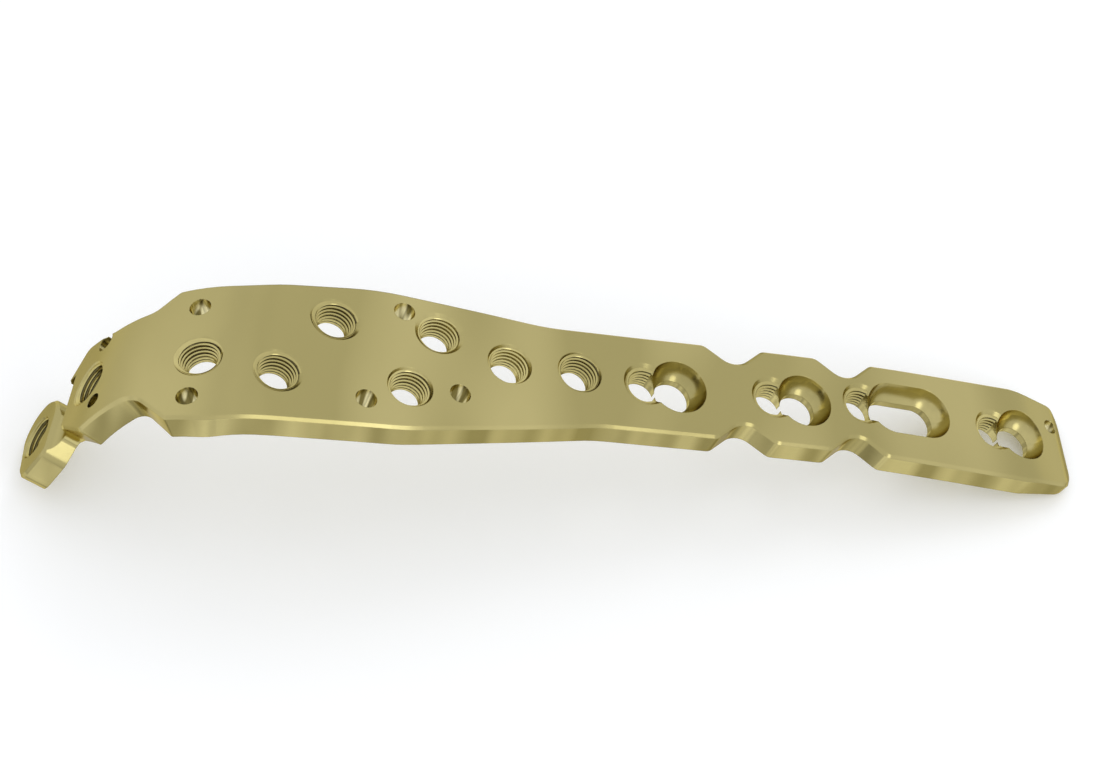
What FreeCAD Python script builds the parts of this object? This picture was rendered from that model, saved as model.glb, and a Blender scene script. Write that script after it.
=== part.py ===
import FreeCAD, Part
import math
import os

import BOPTools.SplitAPI
from FreeCAD import Vector

# Contoured bone plate of titanium alloy, in millimetres.
# The plate is laid out as a flat blank (x towards the shaft tip, y across it),
# rolled, bowed and folded into its hook, and then drilled square to its surface.
# Holes and outline are given in that flat layout.

# Blank
PLATE_THICKNESS = 2.7
SHAFT_HALF_WIDTH = 5.5
TIP_X = 50.1
EDGE_BREAK = 0.3
SPARE = 1.0

# Shaping of the blank
HEAD_SLOPE = 0.083
HEAD_LEVEL_Y = 4.2
ROLL_START_X = -6.9
ROLL_END_X = -30.1
BOW_START_X = 13.3
BOW_END_X = 32.9
BOW_ANGLE = math.radians(5.9)
FOLD_START = -35.8
FOLD_RADIUS = 17.0
FOLD_ANGLE = math.radians(71.3)
FOLD_SKEW = math.radians(14.3)
BLANK_HALF_WIDTH = 10.5
HOOK_END = -75.0
BLANK_END = 54.0
FOLD_MARGIN = 9.0
BOW_MARGIN = 1.5
FOLD_STEPS = 11
HEAD_STEPS = 3
SHAFT_STEPS = 2
BOW_STEPS = 3

# Side notches of the shaft
NOTCH_CENTRES_X = (10.2, 22.7)
NOTCH_HALF_LENGTH = 3.2
NOTCH_DEPTH = 2.45
NOTCH_FLOOR_RADIUS = 2.2
NOTCH_CORNER_RADIUS = 1.2

# Bevelled shaft tip
TIP_TAPER_X = 43.2
TIP_TAPER_HALF_WIDTH = 5.7
TIP_TAPER_RADIUS = 3.0
TIP_BEVEL_X = 44.3
TIP_BEVEL_ANGLE = math.radians(11.0)
TIP_BEND_RADIUS = 8.0
TIP_END_X = 48.7
TIP_END_ANGLE = math.radians(35.0)
TIP_END_RADIUS = 1.5
TIP_CORNER_RADIUS = 2.5
TIP_HALF_WIDTH = 4.8

# Locking holes
WIDE_RIM_RADIUS = 2.5
LOCK_RIM_RADIUS = 2.3
LOCK_THREAD_TOP_RADIUS = 2.1
LOCK_BORE_RADIUS = 1.6
LOCK_CHAMFER_DEPTH = 0.35
LOCK_BORE_LENGTH = 0.9
HEAD_LOCKS = (
    (-44.9, -1.15),
    (-37.6, -3.2),
    (-31.5, 3.6),
    (-21.2, 3.2),
)
NECK_LOCKS = (
    (-24.8, -3.55),
    (-14.3, 0.5),
    (-7.0, 0.5),
)
HOOK_LOCK = (-57.6, 2.8)
TAB_LOCK = (-67.3, 4.4)

# Combination holes: a threaded lobe joined to a spherical compression lobe
COMBI_THREAD_X = (0.0, 13.8, 40.0)
COMBI_LOBE_PITCH = 3.45
COMBI_RIM_RADIUS = 2.4
COMBI_COUNTERSINK_DEPTH = 0.7
COMBI_THREAD_TOP_RADIUS = 1.85
COMPRESSION_SPHERE_RADIUS = 3.0
COMPRESSION_SPHERE_RISE = 0.4
COMPRESSION_BORE_RADIUS = 1.88

# Elongated combination hole
LONG_THREAD_X = 24.1
LONG_HOLE_Y = 0.6
LONG_SLOT_START = 3.6
LONG_SLOT_END = 7.4

# Wire and suture holes
WIRE_RADIUS = 1.05
SMALL_WIRE_RADIUS = 0.8
WIRE_HOLES = (
    (-44.4, 5.05),
    (-46.2, -5.9),
    (-24.5, 5.4),
    (-29.3, -5.5),
    (-19.8, -3.7),
    (-55.3, 6.95),
)
SMALL_WIRE_HOLE = (-56.4, -0.9)
TIP_WIRE_HOLE = (48.0, 2.1)

# Corners of the head's outline, each with its x, y and rounding
HEAD_FRONT_CORNERS = (
    (-61.9, 0.4, 0.8),
    (-58.3, -3.6, 0.7),
    (-51.7, -3.6, 3.0),
    (-48.5, -8.0, 0.6),
    (-44.8, -8.95, 8.0),
    (-25.5, -8.5, 25.0),
)
HEAD_BACK_CORNERS = (
    (-27.0, 8.0, 25.0),
    (-39.5, 7.2, 18.0),
    (-46.2, 8.0, 0.8),
    (-48.9, 6.6, 2.0),
    (-53.7, 7.3, 3.0),
    (-58.5, 9.4, 1.6),
    (-62.8, 7.0, 1.8),
)
SHAFT_FRONT_START_X = -5.5
SHAFT_FRONT_RADIUS = 20.0
SHAFT_BACK_START_X = -10.0
SHAFT_BACK_RADIUS = 25.0

# Ring tab below the hook
TAB_INNER_X = -63.6
TAB_OUTER_X = -70.0
TAB_FRONT_Y = 0.0
TAB_BACK_Y = 8.4
TAB_CORNER_RADIUS = 3.1
TAB_FRONT_CORNER_RADIUS = 1.9
TAB_FRONT_LEAD = 1.8
TAB_FRONT_LEAD_RADIUS = 2.0
TAB_NECK_FRONT_RADIUS = 1.0
TAB_NECK_BACK_RADIUS = 0.4
NECK_X = -62.4
NECK_FRONT_Y = 1.0
NECK_BACK_Y = 4.2
NECK_BACK_X = -62.3
NECK_BACK_RADIUS = 0.5
NECK_FRONT_LEAD = 0.3
NECK_FRONT_RISE = 0.4
NECK_GROOVE_RADIUS = 1.4
NECK_GROOVE_DEPTH = 1.1
NECK_GROOVE_REACH = 5.0

NODE = "bone_plate"


def smooth_ramp(value, start, end):
    """Rise from 0 to 1 between two stations with level ends."""
    part = min(max((value - start) / (end - start), 0.0), 1.0)
    return part * part * (3.0 - 2.0 * part)


def formed_flat(x, y):
    """Point and outward normal of the bowed shaft and the rolled head."""
    slope = HEAD_SLOPE * smooth_ramp(-x, -ROLL_START_X, -ROLL_END_X)
    length = BOW_END_X - BOW_START_X
    inside = min(max(x - BOW_START_X, 0.0), length)
    beyond = max(x - BOW_END_X, 0.0)
    drop = BOW_ANGLE * (inside * inside / (2.0 * length) + beyond)
    height = slope * (HEAD_LEVEL_Y - y) - drop
    normal = Vector(BOW_ANGLE * inside / length, slope, 1.0)
    return Vector(x, y, height), normal.normalize()


def fold_axes():
    """Axis, outward direction and normal of the fold in the rolled head."""
    normal = Vector(0.0, HEAD_SLOPE, 1.0).normalize()
    axis = Vector(math.sin(FOLD_SKEW), math.cos(FOLD_SKEW), 0.0)
    axis.z = -HEAD_SLOPE * axis.y
    axis.normalize()
    outward = axis.cross(normal)
    if outward.x > 0.0:
        outward = -outward
    return axis, outward, normal


def station(x, y):
    """Skewed coordinates of a blank point: fold line distance and offset."""
    along = x * math.cos(FOLD_SKEW) - y * math.sin(FOLD_SKEW)
    return along, y / math.cos(FOLD_SKEW)


def formed(along, offset):
    """Point and outward normal of the finished outer face."""
    across = offset + along * math.tan(FOLD_SKEW)
    held = max(along, FOLD_START)
    x = held * math.cos(FOLD_SKEW) + across * math.sin(FOLD_SKEW)
    y = across * math.cos(FOLD_SKEW) - held * math.sin(FOLD_SKEW)
    point, normal = formed_flat(x, y)
    past = FOLD_START - along
    if past <= 0.0:
        return point, normal
    axis, outward, face = fold_axes()
    angle = min(past / FOLD_RADIUS, FOLD_ANGLE)
    straight = max(past - FOLD_RADIUS * FOLD_ANGLE, 0.0)
    point += outward * (FOLD_RADIUS * math.sin(angle) + straight * math.cos(angle))
    point -= face * (FOLD_RADIUS * (1.0 - math.cos(angle)) + straight * math.sin(angle))
    normal = face * math.cos(angle) + outward * math.sin(angle)
    return point, normal


def spread(start, end, count):
    """Evenly spaced values from a start up to the step before an end."""
    return [start + (end - start) * i / count for i in range(count)]


def station_values():
    """Stations that hold the formed face, closest together in the fold."""
    fold_from = FOLD_START - FOLD_RADIUS * FOLD_ANGLE - FOLD_MARGIN
    fold_to = FOLD_START + FOLD_MARGIN
    bow_from = BOW_START_X - BOW_MARGIN
    bow_to = BOW_END_X + BOW_MARGIN
    values = [HOOK_END]
    values += spread(fold_from, fold_to, FOLD_STEPS)
    values += spread(fold_to, ROLL_START_X, HEAD_STEPS)
    values += spread(ROLL_START_X, bow_from, SHAFT_STEPS)
    values += spread(bow_from, bow_to, BOW_STEPS)
    values += spread(bow_to, BLANK_END, SHAFT_STEPS)
    values.append(BLANK_END)
    return values


def long_line(across, depth):
    """Curve along the plate at one distance across it and one depth."""
    values = station_values()
    points = []
    for value in values:
        point, normal = formed(value, across)
        points.append(point - normal * depth)
    curve = Part.BSplineCurve()
    curve.interpolate(Points=points, Parameters=values)
    return curve


def ruled(first, second):
    """Face stretched straight between two long curves."""
    return Part.makeRuledSurface(first.toShape(), second.toShape())


def formed_surface(depth):
    """Face of the formed blank, measured by station and offset."""
    front = long_line(-BLANK_HALF_WIDTH, depth)
    back = long_line(BLANK_HALF_WIDTH, depth)
    surface = ruled(front, back).Surface
    values = station_values()
    surface.scaleKnotsToBounds(
        values[0], values[-1], -BLANK_HALF_WIDTH, BLANK_HALF_WIDTH
    )
    return surface


def formed_blank():
    """Sheet of full thickness bent to shape, before it is cut to outline."""
    lines = []
    for across, depth in (
        (-BLANK_HALF_WIDTH, 0.0),
        (BLANK_HALF_WIDTH, 0.0),
        (BLANK_HALF_WIDTH, PLATE_THICKNESS),
        (-BLANK_HALF_WIDTH, PLATE_THICKNESS),
    ):
        lines.append(long_line(across, depth))
    faces = [ruled(lines[i - 1], lines[i]) for i in range(len(lines))]
    for ends in ([line.StartPoint for line in lines], [line.EndPoint for line in lines]):
        faces.append(Part.Face(Part.makePolygon(ends + ends[:1])))
    shell = Part.Shell(faces)
    shell.sewShape()
    return Part.Solid(shell)


def rounded_outline(corners):
    """Closed flat outline with every corner rounded to its own radius."""
    count = len(corners)
    edges = []
    ends = []
    for i in range(count):
        x, y, radius = corners[i]
        here = Vector(x, y, 0.0)
        before = Vector(corners[i - 1][0], corners[i - 1][1], 0.0) - here
        after = Vector(*corners[(i + 1) % count][:2], 0.0) - here
        before.normalize()
        after.normalize()
        half = before.getAngle(after) / 2.0
        reach = radius / math.tan(half)
        start = here + before * reach
        end = here + after * reach
        middle = (before + after).normalize()
        crown = here + middle * (radius / math.sin(half) - radius)
        ends.append((start, crown, end))
    for i in range(count):
        start, crown, end = ends[i]
        edges.append(Part.Arc(start, crown, end).toShape())
        following = ends[(i + 1) % count][0]
        if (following - end).Length > 1e-4:
            edges.append(Part.LineSegment(end, following).toShape())
    return edges


def notch(centre_x, side):
    """Corners of one side notch, listed towards the tip."""
    edge = side * SHAFT_HALF_WIDTH
    floor = side * (SHAFT_HALF_WIDTH - NOTCH_DEPTH)
    return [
        (centre_x - NOTCH_HALF_LENGTH, edge, NOTCH_CORNER_RADIUS),
        (centre_x, floor, NOTCH_FLOOR_RADIUS),
        (centre_x + NOTCH_HALF_LENGTH, edge, NOTCH_CORNER_RADIUS),
    ]


def head_front():
    """Front edge from the hook block to the shaft."""
    shaft = (SHAFT_FRONT_START_X, -SHAFT_HALF_WIDTH, SHAFT_FRONT_RADIUS)
    return [*HEAD_FRONT_CORNERS, shaft]


def head_back():
    """Back edge from the shaft to the hook block."""
    shaft = (SHAFT_BACK_START_X, SHAFT_HALF_WIDTH, SHAFT_BACK_RADIUS)
    neck = (NECK_BACK_X, NECK_BACK_Y, NECK_BACK_RADIUS)
    return [shaft, *HEAD_BACK_CORNERS, neck]


def tab_corners():
    """Outline of the ring tab, from the back of its neck to the front."""
    return [
        (TAB_INNER_X, NECK_BACK_Y, TAB_NECK_BACK_RADIUS),
        (TAB_INNER_X, TAB_BACK_Y, TAB_CORNER_RADIUS),
        (TAB_OUTER_X, TAB_BACK_Y, TAB_CORNER_RADIUS),
        (TAB_OUTER_X, TAB_FRONT_Y, TAB_FRONT_CORNER_RADIUS),
        (TAB_INNER_X - TAB_FRONT_LEAD, TAB_FRONT_Y, TAB_FRONT_LEAD_RADIUS),
        (TAB_INNER_X + NECK_FRONT_LEAD, NECK_FRONT_Y + NECK_FRONT_RISE, TAB_NECK_FRONT_RADIUS),
    ]


def tip_corners():
    """Blunt tip of the shaft, front to back."""
    return [
        (TIP_TAPER_X, -TIP_TAPER_HALF_WIDTH, TIP_TAPER_RADIUS),
        (TIP_X, -TIP_HALF_WIDTH, TIP_CORNER_RADIUS),
        (TIP_X, TIP_HALF_WIDTH, TIP_CORNER_RADIUS),
        (TIP_TAPER_X, TIP_TAPER_HALF_WIDTH, TIP_TAPER_RADIUS),
    ]


def flat_outline():
    """Outline of the flat blank."""
    corners = head_front()
    for centre_x in NOTCH_CENTRES_X:
        corners += notch(centre_x, -1.0)
    corners += tip_corners()
    for centre_x in reversed(NOTCH_CENTRES_X):
        corners += reversed(notch(centre_x, 1.0))
    corners += head_back()
    corners += tab_corners()
    return rounded_outline(corners)


def laid_on(edge, surface):
    """Flat outline edge carried onto the formed face."""
    flat = edge.toNurbs().Edges[0].Curve
    poles = []
    for pole in flat.getPoles():
        poles.append(FreeCAD.Base.Vector2d(*station(pole.x, pole.y)))
    curve = Part.Geom2d.BSplineCurve2d()
    curve.buildFromPolesMultsKnots(
        poles,
        flat.getMultiplicities(),
        flat.getKnots(),
        False,
        flat.Degree,
        flat.getWeights(),
    )
    return curve.toShape(surface)


def cut_to_outline(blank):
    """Sheet trimmed by walls that stand square to its face."""
    edges = flat_outline()
    rings = []
    for depth in (-SPARE, PLATE_THICKNESS + SPARE):
        surface = formed_surface(depth)
        rings.append(Part.Wire([laid_on(edge, surface) for edge in edges]))
    walls = Part.makeLoft(rings, False, True)
    pieces = BOPTools.SplitAPI.slice(blank, [walls], "Split").Solids
    point, normal = place(0.0, 0.0)
    kept = point - normal * (PLATE_THICKNESS / 2.0)
    return [piece for piece in pieces if piece.isInside(kept, 0.01, True)][0]


def nearest_edge(shape, point):
    """Edge of a shape that passes closest to a point."""
    mark = Part.Vertex(point)
    return min(shape.Edges, key=lambda edge: edge.distToShape(mark)[0])


def face_at(shape, point):
    """Face of a shape that passes closest to a point."""
    mark = Part.Vertex(point)
    return min(shape.Faces, key=lambda face: face.distToShape(mark)[0])


def rim_edges(plate):
    """Edges between the outer side of the plate and its standing walls."""
    start, bend, end = tip_profile()
    marks = [place(0.0, 0.0)[0], start, (start + bend) / 2.0, bend, (bend + end) / 2.0]
    faces = [face_at(plate, mark) for mark in marks]
    edges = [edge for face in faces for edge in face.OuterWire.Edges]
    rims = []
    for edge in edges:
        if sum(edge.isSame(other) for other in edges) == 1:
            rims.append(edge)
    return rims


def revolved(profile, point, normal):
    """Round cutter from (radius, depth) pairs about a surface normal."""
    corners = [Vector(radius, 0.0, -depth) for radius, depth in profile]
    corners.insert(0, Vector(0.0, 0.0, -profile[0][1]))
    corners.append(Vector(0.0, 0.0, -profile[-1][1]))
    wire = Part.makePolygon(corners + corners[:1])
    body = Part.Face(wire).revolve(Vector(0, 0, 0), Vector(0, 0, 1), 360)
    turn = FreeCAD.Rotation(Vector(0, 0, 1), normal)
    body.Placement = FreeCAD.Placement(point, turn)
    return body


def place(x, y):
    """Surface point and outward normal for a position on the blank."""
    surface = formed_surface(0.0)
    along, offset = station(x, y)
    return surface.value(along, offset), surface.normal(along, offset)


def threaded_hole(x, y, rim, thread_top, sink_depth):
    """Countersink, tapering threaded length and plain bore on one axis."""
    rise = SPARE * (rim - thread_top) / sink_depth
    thread_end = PLATE_THICKNESS - LOCK_BORE_LENGTH
    profile = [
        (rim + rise, -SPARE),
        (thread_top, sink_depth),
        (LOCK_BORE_RADIUS, thread_end),
        (LOCK_BORE_RADIUS, PLATE_THICKNESS + SPARE),
    ]
    return revolved(profile, *place(x, y))


def lock_hole(x, y, rim):
    """Round locking hole."""
    return threaded_hole(x, y, rim, LOCK_THREAD_TOP_RADIUS, LOCK_CHAMFER_DEPTH)


def combi_thread_lobe(x, y):
    """Threaded lobe of a combination hole."""
    return threaded_hole(
        x, y, COMBI_RIM_RADIUS, COMBI_THREAD_TOP_RADIUS, COMBI_COUNTERSINK_DEPTH
    )


def compression_lobe(x_start, x_end, y):
    """Spherical seat and plain bore, swept along the plate if elongated."""
    point, normal = place(x_end, y)
    start, _ = place(x_start, y)
    seats = []
    for foot in (start, point):
        centre = foot + normal * COMPRESSION_SPHERE_RISE
        seats.append(Part.makeSphere(COMPRESSION_SPHERE_RADIUS, centre))
        base = foot - normal * (PLATE_THICKNESS + SPARE)
        height = PLATE_THICKNESS + SPARE
        seats.append(Part.makeCylinder(COMPRESSION_BORE_RADIUS, height, base, normal))
    travel = point - start
    if travel.Length > 0.01:
        centre = start + normal * COMPRESSION_SPHERE_RISE
        seats.append(
            Part.makeCylinder(COMPRESSION_SPHERE_RADIUS, travel.Length, centre, travel)
        )
        seats.append(slot_block(start, travel, normal))
    return seats[0].fuse(seats[1:]) if travel.Length > 0.01 else seats[0].fuse(seats[1])


def slot_block(start, travel, normal):
    """Straight part of the elongated bore."""
    side = normal.cross(travel).normalize() * COMPRESSION_BORE_RADIUS
    low = start - normal * (PLATE_THICKNESS + SPARE)
    corners = [low - side, low + side, low + side + travel, low - side + travel]
    floor = Part.Face(Part.makePolygon(corners + corners[:1]))
    return floor.extrude(normal * (PLATE_THICKNESS + SPARE))


def wire_hole(x, y, radius):
    """Plain round hole square to the face."""
    point, normal = place(x, y)
    base = point - normal * (PLATE_THICKNESS + SPARE)
    return Part.makeCylinder(radius, PLATE_THICKNESS + 2.0 * SPARE, base, normal)


def neck_groove():
    """Round groove that thins the neck of the ring tab."""
    middle_y = (NECK_FRONT_Y + NECK_BACK_Y) / 2.0
    middle_x = (NECK_X + TAB_INNER_X) / 2.0
    point, normal = place(middle_x, middle_y)
    axis, _, _ = fold_axes()
    rise = NECK_GROOVE_RADIUS - NECK_GROOVE_DEPTH
    base = point + normal * rise - axis * NECK_GROOVE_REACH
    return Part.makeCylinder(NECK_GROOVE_RADIUS, 2.0 * NECK_GROOVE_REACH, base, axis)


def tip_profile():
    """Bend points of the outer side of the tip on the centre line."""
    start, normal = place(TIP_BEVEL_X, 0.0)
    along = Vector(0.0, 1.0, 0.0).cross(normal)
    run = TIP_END_X - TIP_BEVEL_X
    bend = start + along * run - normal * (run * math.tan(TIP_BEVEL_ANGLE))
    run = TIP_X - TIP_END_X
    end = bend + along * run - normal * (run * math.tan(TIP_END_ANGLE))
    return start, bend, end


def tip_bevelled(blank):
    """Blank with the outer side of its tip sloped down in two blended steps."""
    start, bend, end = tip_profile()
    slope = bend - start
    steep = end - bend
    up = place(TIP_BEVEL_X, 0.0)[1] * 2.0 * SPARE
    beyond = bend + steep * ((BLANK_END - TIP_END_X) / (TIP_X - TIP_END_X))
    corners = [start - slope, bend, beyond, beyond + slope + up, start - slope + up]
    side = Vector(0.0, 2.0 * BLANK_HALF_WIDTH, 0.0)
    face = Part.Face(Part.makePolygon([c - side for c in corners + corners[:1]]))
    blank = blank.cut(face.extrude(side * 2.0))
    blank = blank.makeFillet(TIP_BEND_RADIUS, [nearest_edge(blank, start)])
    return blank.makeFillet(TIP_END_RADIUS, [nearest_edge(blank, bend)])


def hole_cutters():
    """Every hole of the plate."""
    cutters = [lock_hole(x, y, WIDE_RIM_RADIUS) for x, y in HEAD_LOCKS]
    cutters += [lock_hole(x, y, LOCK_RIM_RADIUS) for x, y in NECK_LOCKS]
    cutters.append(lock_hole(*HOOK_LOCK, WIDE_RIM_RADIUS))
    cutters.append(lock_hole(*TAB_LOCK, LOCK_RIM_RADIUS))
    for x in COMBI_THREAD_X:
        end = x + COMBI_LOBE_PITCH
        cutters.append(combi_thread_lobe(x, 0.0))
        cutters.append(compression_lobe(end, end, 0.0))
    cutters.append(combi_thread_lobe(LONG_THREAD_X, LONG_HOLE_Y))
    cutters.append(
        compression_lobe(
            LONG_THREAD_X + LONG_SLOT_START, LONG_THREAD_X + LONG_SLOT_END, LONG_HOLE_Y
        )
    )
    cutters += [wire_hole(x, y, WIRE_RADIUS) for x, y in WIRE_HOLES]
    cutters.append(wire_hole(*SMALL_WIRE_HOLE, SMALL_WIRE_RADIUS))
    cutters.append(wire_hole(*TIP_WIRE_HOLE, SMALL_WIRE_RADIUS))
    return cutters


def bone_plate():
    """Formed, trimmed, edge-rounded and drilled plate."""
    plate = cut_to_outline(tip_bevelled(formed_blank()))
    plate = plate.makeChamfer(EDGE_BREAK, rim_edges(plate))
    plate = plate.cut(neck_groove())
    for cutter in hole_cutters():
        plate = plate.cut(cutter)
    return plate.Solids[0]


def foot(points, up):
    """Lowest of some points for a given upward direction."""
    return min(points, key=lambda point: point.dot(up))


def resting_up(points):
    """Upward direction when the plate stands on its tab and its tip."""
    tab = [point for point in points if point.x < FOLD_START]
    tip = [point for point in points if point.x > TIP_BEVEL_X]
    tip_front = [point for point in tip if point.y < -1.0]
    tip_back = [point for point in tip if point.y > 1.0]
    up = Vector(0.0, 0.0, 1.0)
    for _ in range(6):
        origin = foot(tab, up)
        front = foot(tip_front, up) - origin
        back = foot(tip_back, up) - origin
        up = front.cross(back).normalize()
    return up


def at_rest(plate):
    """Plate laid on a level surface, centred over the origin."""
    points = plate.tessellate(0.02)[0]
    level = FreeCAD.Rotation(resting_up(points), Vector(0.0, 0.0, 1.0))
    heading = level.multVec(Vector(1.0, 0.0, 0.0))
    swing = math.degrees(math.atan2(heading.y, heading.x))
    turn = FreeCAD.Rotation(Vector(0.0, 0.0, 1.0), -swing).multiply(level)
    turned = [turn.multVec(point) for point in points]
    xs = [point.x for point in turned]
    ys = [point.y for point in turned]
    shift = Vector(
        -(min(xs) + max(xs)) / 2.0,
        -(min(ys) + max(ys)) / 2.0,
        -min(point.z for point in turned),
    )
    return FreeCAD.Placement(shift, turn)


os.makedirs("parts", exist_ok=True)
plate = bone_plate()
rest = at_rest(plate)
plate.transformShape(rest.toMatrix())
plate.exportStep("parts/" + NODE + ".step")
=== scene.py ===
import math

import bpy
from mathutils import Matrix, Vector


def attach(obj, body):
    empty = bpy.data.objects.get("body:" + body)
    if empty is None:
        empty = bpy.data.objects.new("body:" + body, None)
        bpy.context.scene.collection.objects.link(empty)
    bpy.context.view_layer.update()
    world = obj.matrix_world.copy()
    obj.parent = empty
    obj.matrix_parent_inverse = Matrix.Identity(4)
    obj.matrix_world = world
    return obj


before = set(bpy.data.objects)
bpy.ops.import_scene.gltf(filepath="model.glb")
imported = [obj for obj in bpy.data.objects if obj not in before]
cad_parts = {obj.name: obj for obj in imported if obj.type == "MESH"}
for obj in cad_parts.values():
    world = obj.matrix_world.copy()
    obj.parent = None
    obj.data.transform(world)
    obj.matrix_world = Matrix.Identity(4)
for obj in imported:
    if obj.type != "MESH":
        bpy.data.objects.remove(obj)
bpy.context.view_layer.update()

MM = 0.001

# Forming of the plate, in millimetres, as its solid is made
HEAD_SLOPE = 0.083
HEAD_LEVEL_Y = 4.2
ROLL_START_X = -6.9
ROLL_END_X = -30.1
BOW_START_X = 13.3
BOW_END_X = 32.9
BOW_ANGLE = math.radians(5.9)
FOLD_START = -35.8
FOLD_RADIUS = 17.0
FOLD_ANGLE = math.radians(71.3)
FOLD_SKEW = math.radians(14.3)

# Step along the plate from which its lengthwise direction is read
AHEAD_STEP = 0.5

# Standing pose of the formed plate: pitch, roll and shift in millimetres
STAND_PITCH = math.radians(9.9754)
STAND_ROLL = math.radians(-0.06217)
STAND_SHIFT = Vector((6.062, 0.7742, 14.0235))

# Threaded holes, in millimetres on the flat layout
LOCK_HOLES = (
    (-44.9, -1.15), (-37.6, -3.2), (-31.5, 3.6), (-21.2, 3.2), (-24.8, -3.55),
    (-14.3, 0.5), (-7.0, 0.5), (-57.6, 2.8), (-67.3, 4.4),
)
COMBI_HOLES = ((0.0, 0.0), (13.8, 0.0), (24.1, 0.6), (40.0, 0.0))

# Walls and ridge crests down those holes: depths below the outer face and radii
LOCK_WALL = ((0.16, 2.31), (0.35, 2.10), (1.80, 1.60), (2.62, 1.60))
LOCK_CREST = ((0.16, 2.08), (0.35, 1.90), (1.80, 1.46), (2.62, 1.46))
COMBI_WALL = ((0.40, 2.08), (0.70, 1.85), (1.80, 1.60), (2.62, 1.60))
COMBI_CREST = ((0.40, 1.86), (0.70, 1.65), (1.80, 1.46), (2.62, 1.46))

# Half of the arc over which a combination hole has no thread
COMBI_OPEN_ANGLE = math.radians(58.0)

# Section of the ridge: place along one pitch and share of the ridge's height
THREAD_PITCH = 0.37
THREAD_FORM = (
    (-0.5, 0.0), (-0.28, 0.08), (-0.10, 1.0),
    (0.10, 1.0), (0.28, 0.08), (0.5, 0.0),
)

# Sides of that section that get painted shade, as dark grooves
THREAD_UPPER_SHADED_SIDE = 0
THREAD_LOWER_SHADED_SIDE = 4

# How far the ridge's root stands off the wall, clear of the solid's facets, and
# how far its hidden back lies behind the root
THREAD_STAND = 0.04
THREAD_BACK = 0.08

# Steps in one turn, steps over which a ridge's end fades, and its sharp edges
THREAD_STEPS = 72
THREAD_FADE = 14.0
THREAD_SHARP_ANGLE = math.radians(25.0)

# Wire holes whose walls carry painted reflection streaks, in millimetres on the flat
# layout, and the depth of their middles below the outer face
WIRE_HOLES = (
    (-44.4, 5.05), (-46.2, -5.9), (-24.5, 5.4), (-29.3, -5.5),
    (-19.8, -3.7), (-55.3, 6.95), (48.0, 2.1),
)
WIRE_MIDDLE_DEPTH = 1.3

# Reach of the painted reflection streaks round such a middle, seen from above, in
# metres
REFLECTION_STREAK_REACH = 0.00125

# Colours of the anodised metal, dark and bright, and its tint at grazing angles; the
# spread from dark to bright is painted reflection: bands on faces and walls, streaks in
# wire holes
FACE_REFLECTION_TONES = ((0.400, 0.350, 0.146), (0.520, 0.457, 0.203))
WALL_REFLECTION_TONES = ((0.36, 0.31, 0.122), (0.64, 0.565, 0.250))
REFLECTION_STREAK_TONES = ((0.20, 0.165, 0.055), (0.78, 0.71, 0.40))
GRAZING_TINT = (0.85, 0.76, 0.46)

# Noise that moves between those tones and so paints the reflection bands and streaks:
# scales per metre, the slant in radians, and the part of the noise's range that is used
FACE_SCALE = 110.0
FACE_SLANT = 0.5
FACE_STRETCH = (1.0, 0.3, 1.0)
WALL_SCALE = 260.0
WALL_DETAIL = 1.0
SOFT_RANGE = (0.36, 0.64)
REFLECTION_STREAK_SCALE = 1500.0
REFLECTION_STREAK_RANGE = (0.43, 0.57)

# Scale that flattens coordinates, so that the painted reflection bands and streaks run
# straight down a wall
FLATTEN = (1.0, 1.0, 0.0)

# Faces whose upward share is below this are walls, and take the walls' brighter painted
# reflection tones
STEEP_LIMIT = 0.40

# Satin grain, broad unevenness and softened edges, with depths and radius in metres
SATIN_SCALE = 1500.0
SATIN_DETAIL = 2.0
SATIN_ROUGHNESS = (0.17, 0.25)
SATIN_STRENGTH = 0.05
SATIN_DEPTH = 0.00002
UNEVEN_SCALE = 130.0
UNEVEN_STRENGTH = 0.5
UNEVEN_DEPTH = 0.0002
EDGE_RADIUS = 0.00012
EDGE_SAMPLES = 4

# Painted highlight on the ridges and painted shade in the grooves, as factors on the
# plate's colours
PAINTED_RIDGE_HIGHLIGHT = 1.2
PAINTED_GROOVE_SHADE = 0.28

# Floor, in metres, and the light added to it for the camera alone
FLOOR_COLOUR = (0.96, 0.965, 0.97)
FLOOR_ROUGHNESS = 0.95
FLOOR_SIZE = 4.0
FLOOR_HEIGHT = -0.0001
FLOOR_LIFT = 0.07

# Surroundings: their light, and the bands that the metal mirrors instead
WHITE = (1.0, 1.0, 1.0)
WORLD_GLOW = (0.97, 0.98, 1.0)
BAND_SCALE = 4.0
BAND_STRETCH = (1.0, 1.0, 0.35)
UPPER_BAND_RANGE = (0.35, 0.65)
UPPER_BAND_TONES = (0.88, 1.0)
LOWER_BAND_RANGE = (0.38, 0.62)
LOWER_BAND_TONES = (0.50, 1.0)
HORIZON_RANGE = (0.10, -0.45)

# Lamps, in metres and watts
LAMP_SIZE = 0.30
LAMP_POWER = 0.3
KEY_POSITION = (0.30, 0.40, 0.60)
FILL_POSITION = (0.22, -0.55, 0.38)

# Camera: bearing, height and bank of its view, its place in millimetres, its lens,
# and clipping in metres
CAMERA_AZIMUTH = math.radians(-20.6448)
CAMERA_ELEVATION = math.radians(56.1092)
CAMERA_BANK = math.radians(17.6356)
CAMERA_PLACE = Vector((-52.490, -129.198, 220.056))
FOCAL_PIXELS = 2545.0
IMAGE_WIDTH = 1100.0
SENSOR_WIDTH = 36.0
CLIP_START = 0.01
CLIP_END = 20.0


def smooth_ramp(value, start, end):
    """Smooth rise from zero at the start to one at the end."""
    part = min(max((value - start) / (end - start), 0.0), 1.0)
    return part * part * (3.0 - 2.0 * part)


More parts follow.
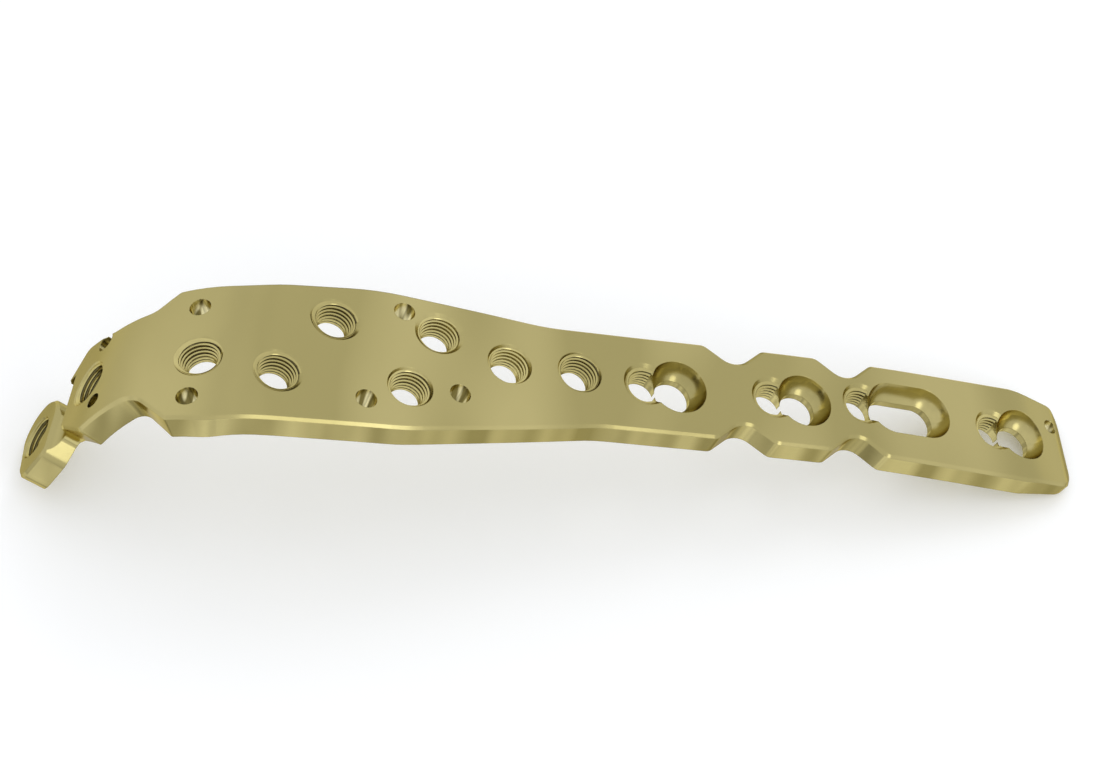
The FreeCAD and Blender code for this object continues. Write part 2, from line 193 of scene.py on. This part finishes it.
def formed_flat(x, y):
    """Point and outward normal of the bowed shaft and the rolled head."""
    slope = HEAD_SLOPE * smooth_ramp(-x, -ROLL_START_X, -ROLL_END_X)
    length = BOW_END_X - BOW_START_X
    inside = min(max(x - BOW_START_X, 0.0), length)
    beyond = max(x - BOW_END_X, 0.0)
    drop = BOW_ANGLE * (inside * inside / (2.0 * length) + beyond)
    normal = Vector((BOW_ANGLE * inside / length, slope, 1.0))
    return Vector((x, y, slope * (HEAD_LEVEL_Y - y) - drop)), normal.normalized()


def formed(x, y):
    """Point and outward normal of the finished outer face."""
    along = x * math.cos(FOLD_SKEW) - y * math.sin(FOLD_SKEW)
    past = FOLD_START - along
    if past <= 0.0:
        return formed_flat(x, y)
    across = y / math.cos(FOLD_SKEW) + along * math.tan(FOLD_SKEW)
    held_x = FOLD_START * math.cos(FOLD_SKEW) + across * math.sin(FOLD_SKEW)
    held_y = across * math.cos(FOLD_SKEW) - FOLD_START * math.sin(FOLD_SKEW)
    point, _ = formed_flat(held_x, held_y)
    face = Vector((0.0, HEAD_SLOPE, 1.0)).normalized()
    axis = Vector((math.sin(FOLD_SKEW), math.cos(FOLD_SKEW), 0.0))
    axis.z = -HEAD_SLOPE * axis.y
    axis.normalize()
    outward = face.cross(axis)
    angle = min(past / FOLD_RADIUS, FOLD_ANGLE)
    straight = max(past - FOLD_RADIUS * FOLD_ANGLE, 0.0)
    reach = FOLD_RADIUS * math.sin(angle) + straight * math.cos(angle)
    fall = FOLD_RADIUS * (1.0 - math.cos(angle)) + straight * math.sin(angle)
    return (
        point + outward * reach - face * fall,
        face * math.cos(angle) + outward * math.sin(angle),
    )


def standing(x, y):
    """Place on the standing plate: position, lengthwise, crosswise and normal."""
    point, normal = formed(x, y)
    ahead, _ = formed(x + AHEAD_STEP, y)
    pitch = Matrix.Rotation(STAND_PITCH, 3, "Y")
    turn = pitch @ Matrix.Rotation(STAND_ROLL, 3, "X")
    normal = (turn @ normal).normalized()
    length = turn @ (ahead - point)
    length = (length - normal * length.dot(normal)).normalized()
    return turn @ point + STAND_SHIFT, length, normal.cross(length), normal


def radius_at(line, depth):
    """Radius of a wall or crest line at a depth."""
    for (top, wide), (low, narrow) in zip(line, line[1:]):
        if depth <= low:
            return wide + (narrow - wide) * (depth - top) / (low - top)
    return line[-1][1]


def ridge_section(wall, crest, depth, fade):
    """Depths and radii round the closed section of a ridge at one step."""
    top, bottom = wall[0][0], wall[-1][0]
    section = []
    for step, height in THREAD_FORM:
        level = min(max(depth + step * THREAD_PITCH, top), bottom)
        root = radius_at(wall, level) - THREAD_STAND
        radius = root + (radius_at(crest, level) - root) * height * fade
        section.append((level, radius))
    for level, radius in (section[-1], section[0]):
        section.append((level, radius + THREAD_BACK))
    return section


def thread(name, x, y, wall, crest, metals, open_angle=0.0):
    """Helical ridge on the wall of one hole, left open towards a joined lobe."""
    centre, length, cross, normal = standing(x, y)
    top, bottom = wall[0][0], wall[-1][0]
    count = int((bottom - top) / THREAD_PITCH * THREAD_STEPS)
    vertices = []
    faces = []
    # Per face, one where the darker copy of the metal paints shade into a groove
    groove_shade_marks = []
    previous = None
    for i in range(count + 1):
        angle = 2.0 * math.pi * i / THREAD_STEPS
        bearing = (angle + math.pi) % (2.0 * math.pi) - math.pi
        if abs(bearing) < open_angle:
            if previous:
                faces.append(previous[::-1])
                groove_shade_marks.append(0)
            previous = None
            continue
        depth = top + THREAD_PITCH * i / THREAD_STEPS
        fade = min(1.0, i / THREAD_FADE, (count - i) / THREAD_FADE)
        section = ridge_section(wall, crest, depth, fade)
        ring = list(range(len(vertices), len(vertices) + len(section)))
        out = length * math.cos(angle) + cross * math.sin(angle)
        for level, radius in section:
            vertices.append((centre + out * radius - normal * level) * MM)
        if previous:
            # The upper groove of the first turn lies at the rim and gets no painted
            # shade
            shaded_sides = (THREAD_LOWER_SHADED_SIDE,)
            if i > THREAD_STEPS:
                shaded_sides = (THREAD_UPPER_SHADED_SIDE, THREAD_LOWER_SHADED_SIDE)
            for side in range(len(ring)):
                after = (side + 1) % len(ring)
                faces.append((previous[side], ring[side], ring[after], previous[after]))
                groove_shade_marks.append(int(side in shaded_sides))
        else:
            faces.append(ring)
            groove_shade_marks.append(0)
        previous = ring
    if previous:
        faces.append(previous[::-1])
        groove_shade_marks.append(0)
    mesh = bpy.data.meshes.new(name)
    mesh.from_pydata(vertices, [], faces)
    mesh.shade_smooth()
    mesh.set_sharp_from_angle(angle=THREAD_SHARP_ANGLE)
    # The first metal paints a highlight on the ridges, the second paints shade in the
    # grooves
    for metal in metals:
        mesh.materials.append(metal)
    mesh.polygons.foreach_set("material_index", groove_shade_marks)
    piece = bpy.data.objects.new(name, mesh)
    bpy.context.scene.collection.objects.link(piece)
    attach(piece, "root")


def place_camera():
    """Camera at the photograph's angle."""
    data = bpy.data.cameras.new("camera")
    data.sensor_width = SENSOR_WIDTH
    data.lens = FOCAL_PIXELS * SENSOR_WIDTH / IMAGE_WIDTH
    data.clip_start = CLIP_START
    data.clip_end = CLIP_END
    camera = bpy.data.objects.new("camera", data)
    bpy.context.scene.collection.objects.link(camera)
    camera.matrix_world = (
        Matrix.Translation(CAMERA_PLACE * MM)
        @ Matrix.Rotation(CAMERA_AZIMUTH, 4, "Z")
        @ Matrix.Rotation(math.pi / 2.0 - CAMERA_ELEVATION, 4, "X")
        @ Matrix.Rotation(CAMERA_BANK, 4, "Z")
    )
    bpy.context.scene.camera = camera


def opaque(colour, painted_light=1.0):
    """Colour darkened or brightened by a factor of painted shade or highlight, with
    full cover.
    """
    return (*(part * painted_light for part in colour), 1.0)


def feed(tree, socket, source):
    """Link an output to a socket, or set the socket to a value."""
    if isinstance(source, bpy.types.NodeSocket):
        tree.links.new(source, socket)
    else:
        socket.default_value = source


def noise(tree, vector, scale, detail=0.0):
    """Smooth noise over coordinates."""
    node = tree.nodes.new("ShaderNodeTexNoise")
    node.inputs["Scale"].default_value = scale
    node.inputs["Detail"].default_value = detail
    tree.links.new(vector, node.inputs["Vector"])
    return node.outputs["Fac"]


def mapped(tree, vector, scale, turn=0.0):
    """Coordinates scaled, and turned about the upright axis."""
    node = tree.nodes.new("ShaderNodeMapping")
    node.inputs["Rotation"].default_value = (0.0, 0.0, turn)
    node.inputs["Scale"].default_value = scale
    tree.links.new(vector, node.inputs["Vector"])
    return node.outputs["Vector"]


def ranged(tree, value, source=(0.0, 1.0), target=(0.0, 1.0)):
    """Value carried from one range to another and held at its ends."""
    node = tree.nodes.new("ShaderNodeMapRange")
    for side, (low, high) in (("From", source), ("To", target)):
        node.inputs[side + " Min"].default_value = low
        node.inputs[side + " Max"].default_value = high
    tree.links.new(value, node.inputs["Value"])
    return node.outputs["Result"]


def computed(tree, operation, first, second):
    """Two outputs, or an output and a number, put through a math operation."""
    node = tree.nodes.new("ShaderNodeMath")
    node.operation = operation
    feed(tree, node.inputs[0], first)
    feed(tree, node.inputs[1], second)
    return node.outputs[0]


def mixed(tree, factor, first, second, kind="RGBA"):
    """Mix of two colours or of two numbers."""
    node = tree.nodes.new("ShaderNodeMix")
    node.data_type = kind
    feed(tree, node.inputs["Factor"], factor)
    feed(tree, node.inputs["A"], first)
    feed(tree, node.inputs["B"], second)
    return node.outputs["Result"]


def toned(tree, factor, tones, painted_light=1.0):
    """Colour between a dark and a bright tone, darkened or brightened by a factor of
    painted shade or highlight.
    """
    shaded_sides, bright = tones
    return mixed(tree, factor, opaque(shaded_sides, painted_light), opaque(bright, painted_light))


def upward(tree, vector):
    """Upright part of a vector."""
    node = tree.nodes.new("ShaderNodeSeparateXYZ")
    tree.links.new(vector, node.inputs[0])
    return node.outputs["Z"]


def bump(tree, height, strength, depth):
    """Bump node over a height."""
    node = tree.nodes.new("ShaderNodeBump")
    node.inputs["Strength"].default_value = strength
    node.inputs["Distance"].default_value = depth
    tree.links.new(height, node.inputs["Height"])
    return node


def inside_wire_holes(tree, flat):
    """Mask for the painted reflection streaks: one inside the wire holes and zero
    elsewhere, over flattened coordinates.
    """
    mask = None
    for x, y in WIRE_HOLES:
        centre, _, _, normal = standing(x, y)
        middle = (centre - normal * WIRE_MIDDLE_DEPTH) * MM
        gap = tree.nodes.new("ShaderNodeVectorMath")
        gap.operation = "DISTANCE"
        gap.inputs[1].default_value = (middle.x, middle.y, 0.0)
        tree.links.new(flat, gap.inputs[0])
        near = computed(tree, "LESS_THAN", gap.outputs["Value"], REFLECTION_STREAK_REACH)
        mask = computed(tree, "MAXIMUM", mask, near) if mask else near
    return mask


def titanium(name, edge_radius, painted_light):
    """Gold-anodised titanium: satin grain, softened edges, painted reflection bands on
    faces and walls, painted reflection streaks in the wire holes, and a factor of
    painted highlight or shade.
    """
    material = bpy.data.materials.new(name)
    material.use_nodes = True
    tree = material.node_tree
    shader = tree.nodes["Principled BSDF"]
    shader.inputs["Metallic"].default_value = 1.0
    shader.inputs["Specular Tint"].default_value = opaque(GRAZING_TINT)
    place = tree.nodes.new("ShaderNodeTexCoord").outputs["Object"]

    # Slanted soft tones on the faces: painted reflection bands
    slanted = mapped(tree, place, FACE_STRETCH, FACE_SLANT)
    face_reflection_level = ranged(tree, noise(tree, slanted, FACE_SCALE), SOFT_RANGE)
    face = toned(tree, face_reflection_level, FACE_REFLECTION_TONES, painted_light)

    # Painted reflection: soft upright bands on the walls, and sharp streaks down the
    # wire holes
    flat = mapped(tree, place, FLATTEN)
    wall_reflection_level = ranged(tree, noise(tree, flat, WALL_SCALE, WALL_DETAIL), SOFT_RANGE)
    wall = toned(tree, wall_reflection_level, WALL_REFLECTION_TONES, painted_light)
    reflection_streak_level = ranged(tree, noise(tree, flat, REFLECTION_STREAK_SCALE), REFLECTION_STREAK_RANGE)
    reflection_streaks = toned(tree, reflection_streak_level, REFLECTION_STREAK_TONES)
    wall = mixed(tree, inside_wire_holes(tree, flat), wall, reflection_streaks)

    # Walls and faces each take their own tones: painted reflection, brighter on the
    # walls
    normal = tree.nodes.new("ShaderNodeNewGeometry").outputs["True Normal"]
    steep = computed(tree, "LESS_THAN", upward(tree, normal), STEEP_LIMIT)
    tree.links.new(mixed(tree, steep, face, wall), shader.inputs["Base Color"])

    # One grain drives both the roughness and the finest bump
    satin = noise(tree, place, SATIN_SCALE, SATIN_DETAIL)
    roughness = ranged(tree, satin, target=SATIN_ROUGHNESS)
    tree.links.new(roughness, shader.inputs["Roughness"])
    uneven = noise(tree, place, UNEVEN_SCALE)
    broad = bump(tree, uneven, UNEVEN_STRENGTH, UNEVEN_DEPTH)
    fine = bump(tree, satin, SATIN_STRENGTH, SATIN_DEPTH)
    tree.links.new(broad.outputs["Normal"], fine.inputs["Normal"])
    if edge_radius > 0.0:
        soft = tree.nodes.new("ShaderNodeBevel")
        soft.samples = EDGE_SAMPLES
        soft.inputs["Radius"].default_value = edge_radius
        tree.links.new(soft.outputs["Normal"], broad.inputs["Normal"])
    tree.links.new(fine.outputs["Normal"], shader.inputs["Normal"])
    return material


def make_floor():
    """Plain pale floor, which the metal doesn't mirror."""
    material = bpy.data.materials.new("floor")
    material.use_nodes = True
    tree = material.node_tree
    shader = tree.nodes["Principled BSDF"]
    shader.inputs["Base Color"].default_value = opaque(FLOOR_COLOUR)
    shader.inputs["Roughness"].default_value = FLOOR_ROUGHNESS
    shader.inputs["Specular IOR Level"].default_value = 0.0
    shader.inputs["Emission Color"].default_value = opaque(WHITE)
    seen = tree.nodes.new("ShaderNodeLightPath").outputs["Is Camera Ray"]
    lift = computed(tree, "MULTIPLY", seen, FLOOR_LIFT)
    tree.links.new(lift, shader.inputs["Emission Strength"])
    bpy.ops.mesh.primitive_plane_add(size=FLOOR_SIZE, location=(0.0, 0.0, FLOOR_HEIGHT))
    floor = bpy.context.object
    floor.name = "floor"
    floor.data.materials.append(material)
    floor.visible_glossy = False


def area_lamp(name, position, mirrored):
    """Soft round lamp aimed at the plate, mirrored by the metal or not."""
    data = bpy.data.lights.new(name, "AREA")
    data.shape = "DISK"
    data.size = LAMP_SIZE
    data.energy = LAMP_POWER
    lamp = bpy.data.objects.new(name, data)
    bpy.context.scene.collection.objects.link(lamp)
    lamp.location = position
    lamp.visible_glossy = mirrored
    lamp.rotation_euler = (-Vector(position)).to_track_quat("-Z", "Y").to_euler()


def background(tree, colour):
    """Even light in one colour."""
    node = tree.nodes.new("ShaderNodeBackground")
    feed(tree, node.inputs["Color"], colour)
    return node.outputs[0]


def chosen(tree, factor, first, second):
    """First shader where the factor is zero and the second where it is one."""
    node = tree.nodes.new("ShaderNodeMixShader")
    for socket, source in zip(node.inputs, (factor, first, second)):
        tree.links.new(source, socket)
    return node.outputs[0]


def make_world():
    """White surroundings; the metal mirrors soft grey bands instead."""
    world = bpy.data.worlds.new("studio")
    bpy.context.scene.world = world
    world.use_nodes = True
    tree = world.node_tree
    tree.nodes.clear()
    out = tree.nodes.new("ShaderNodeOutputWorld")
    place = tree.nodes.new("ShaderNodeTexCoord").outputs["Generated"]
    bands = noise(tree, mapped(tree, place, BAND_STRETCH), BAND_SCALE)
    upper = ranged(tree, bands, UPPER_BAND_RANGE, UPPER_BAND_TONES)
    lower = ranged(tree, bands, LOWER_BAND_RANGE, LOWER_BAND_TONES)
    below = ranged(tree, upward(tree, place), HORIZON_RANGE)
    grey = background(tree, mixed(tree, below, upper, lower, "FLOAT"))

    # The camera sees plain white, mirror rays see the bands, the rest is the glow
    ray = tree.nodes.new("ShaderNodeLightPath").outputs
    direct = computed(tree, "MAXIMUM", ray["Is Camera Ray"], ray["Is Transmission Ray"])
    seen = computed(tree, "MAXIMUM", direct, ray["Is Glossy Ray"])
    shown = chosen(tree, direct, grey, background(tree, opaque(WHITE)))
    light = chosen(tree, seen, background(tree, opaque(WORLD_GLOW)), shown)
    tree.links.new(light, out.inputs[0])


plate_metal = titanium("titanium", EDGE_RADIUS, 1.0)
# Brightened and darkened copies of the metal for the threads: painted highlight on the
# ridges, painted shade in the grooves
thread_metals = (
    titanium("titanium_ridge_highlight", 0.0, PAINTED_RIDGE_HIGHLIGHT),
    titanium("titanium_groove_shade", 0.0, PAINTED_GROOVE_SHADE),
)
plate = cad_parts["bone_plate"]
plate.data.materials.clear()
plate.data.materials.append(plate_metal)
for i, (x, y) in enumerate(LOCK_HOLES):
    name = "lock_thread_%d" % (i + 1)
    thread(name, x, y, LOCK_WALL, LOCK_CREST, thread_metals)
for i, (x, y) in enumerate(COMBI_HOLES):
    name = "combi_thread_%d" % (i + 1)
    thread(name, x, y, COMBI_WALL, COMBI_CREST, thread_metals, COMBI_OPEN_ANGLE)
make_floor()
make_world()
area_lamp("key", KEY_POSITION, False)
area_lamp("fill", FILL_POSITION, True)
place_camera()
bpy.context.scene.view_settings.view_transform = "Standard"
